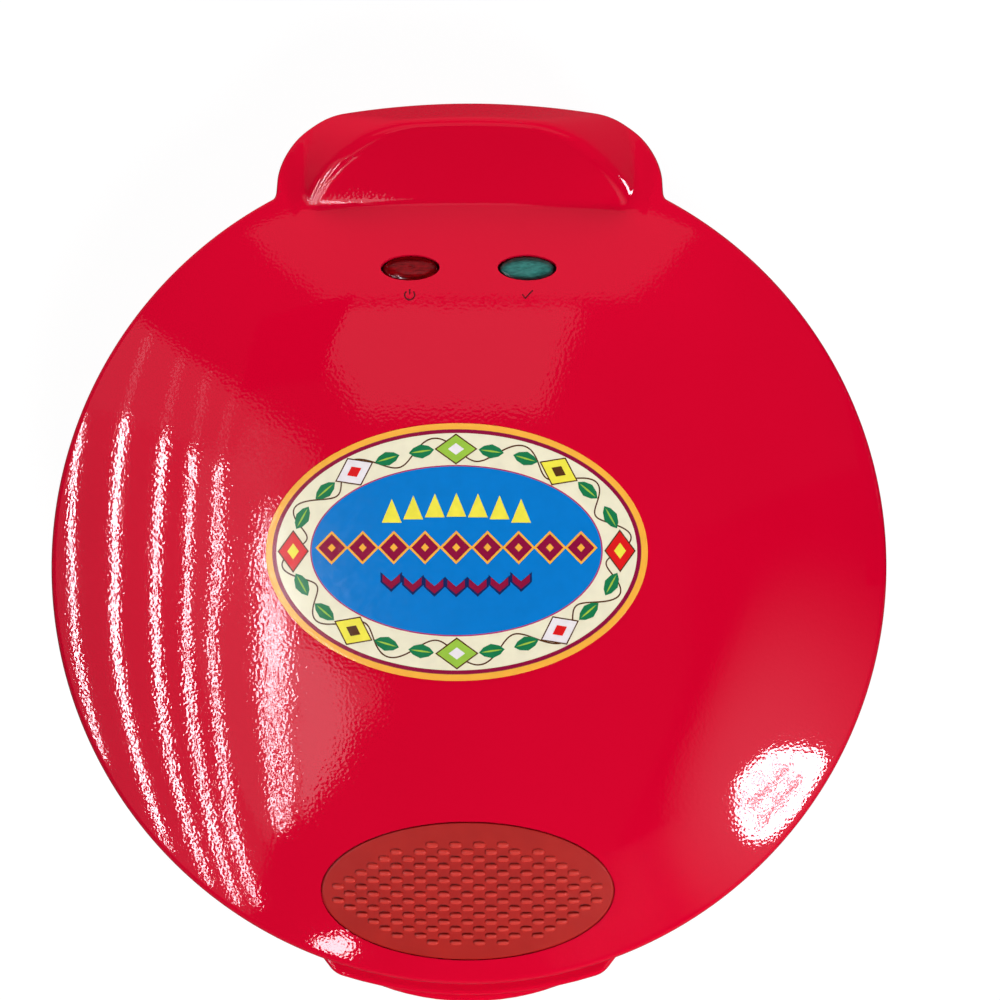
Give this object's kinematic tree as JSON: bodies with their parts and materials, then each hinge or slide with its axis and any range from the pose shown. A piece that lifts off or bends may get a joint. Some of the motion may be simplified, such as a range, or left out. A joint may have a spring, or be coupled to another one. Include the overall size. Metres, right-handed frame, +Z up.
{
  "type": "quesadilla maker",
  "caption": "Round countertop quesadilla maker: domed red lid hinged at the back over a bowl-shaped base, with wedge-pocket cooking plates between them, a front finger grip and indicator lamps.",
  "frame": {"origin": "on the worktop plane that the feet rest on, under the middle of the whole footprint; the round plates' own centre lies 6.25 mm in front of it", "axes": "+Z up; +X to the object's right as seen from the front; -Y towards the user, so +Y runs to the hinge at the back"},
  "size_m": [0.29, 0.3226, 0.0895],
  "materials": {
    "red_plastic": "high gloss, saturated red",
    "black_plastic": "fine satin, heat-proof",
    "nonstick_plate": "cast aluminium under a dark non-stick coat",
    "element_steel": "heat-darkened sheath",
    "bright_sheet": "bright rolled sheet",
    "zinc_steel": "zinc plated",
    "ceramic_body": "unglazed",
    "terminal_plastic": "moulded, off-white",
    "fuse_case": "drawn metal case",
    "black_rubber": "matte",
    "pin_steel": "turned",
    "soft_pad": "matte brick red, soft touch",
    "printed_label": "printed film, glossy",
    "red_lens": "clear-tinted, dark red",
    "green_lens": "clear-tinted, dark green",
    "bulb_glass": "clear",
    "bracket_plastic": "moulded, off-white"
  },
  "bodies": {
    "base": {"base_bowl": "red_plastic", "base_frame": "black_plastic", "lower_plate": "nonstick_plate", "lower_element": "element_steel", "lower_reflector": "bright_sheet", "lower_plate_screws": "zinc_steel", "lower_reflector_screws": "zinc_steel", "base_screws": "zinc_steel", "thermostat": "ceramic_body", "thermostat_screws": "zinc_steel", "terminal_block": "terminal_plastic", "cord_bush": "black_rubber", "hinge_pin_left": "pin_steel", "hinge_pin_right": "pin_steel", "foot_front_left": "black_rubber", "foot_front_right": "black_rubber", "foot_rear_left": "black_rubber", "foot_rear_right": "black_rubber"},
    "lid": {"lid_cover": "red_plastic", "lid_frame": "black_plastic", "upper_plate": "nonstick_plate", "upper_element": "element_steel", "upper_reflector": "bright_sheet", "upper_plate_screws": "zinc_steel", "upper_reflector_screws": "zinc_steel", "lid_screws": "zinc_steel", "thermal_fuse": "fuse_case", "fuse_clip": "zinc_steel", "fuse_screws": "zinc_steel", "grip_pad": "soft_pad", "label": "printed_label", "power_lens": "red_lens", "ready_lens": "green_lens", "power_bulb": "bulb_glass", "ready_bulb": "bulb_glass", "lamp_bracket": "bracket_plastic"}
  },
  "joints": [
    {"name": "lid_hinge", "type": "hinge", "parent": "base", "child": "lid", "pos_m": [0, 0.14375, 0.054], "axis": [-1, 0, 0], "range_deg": [0, 100]}
  ]
}
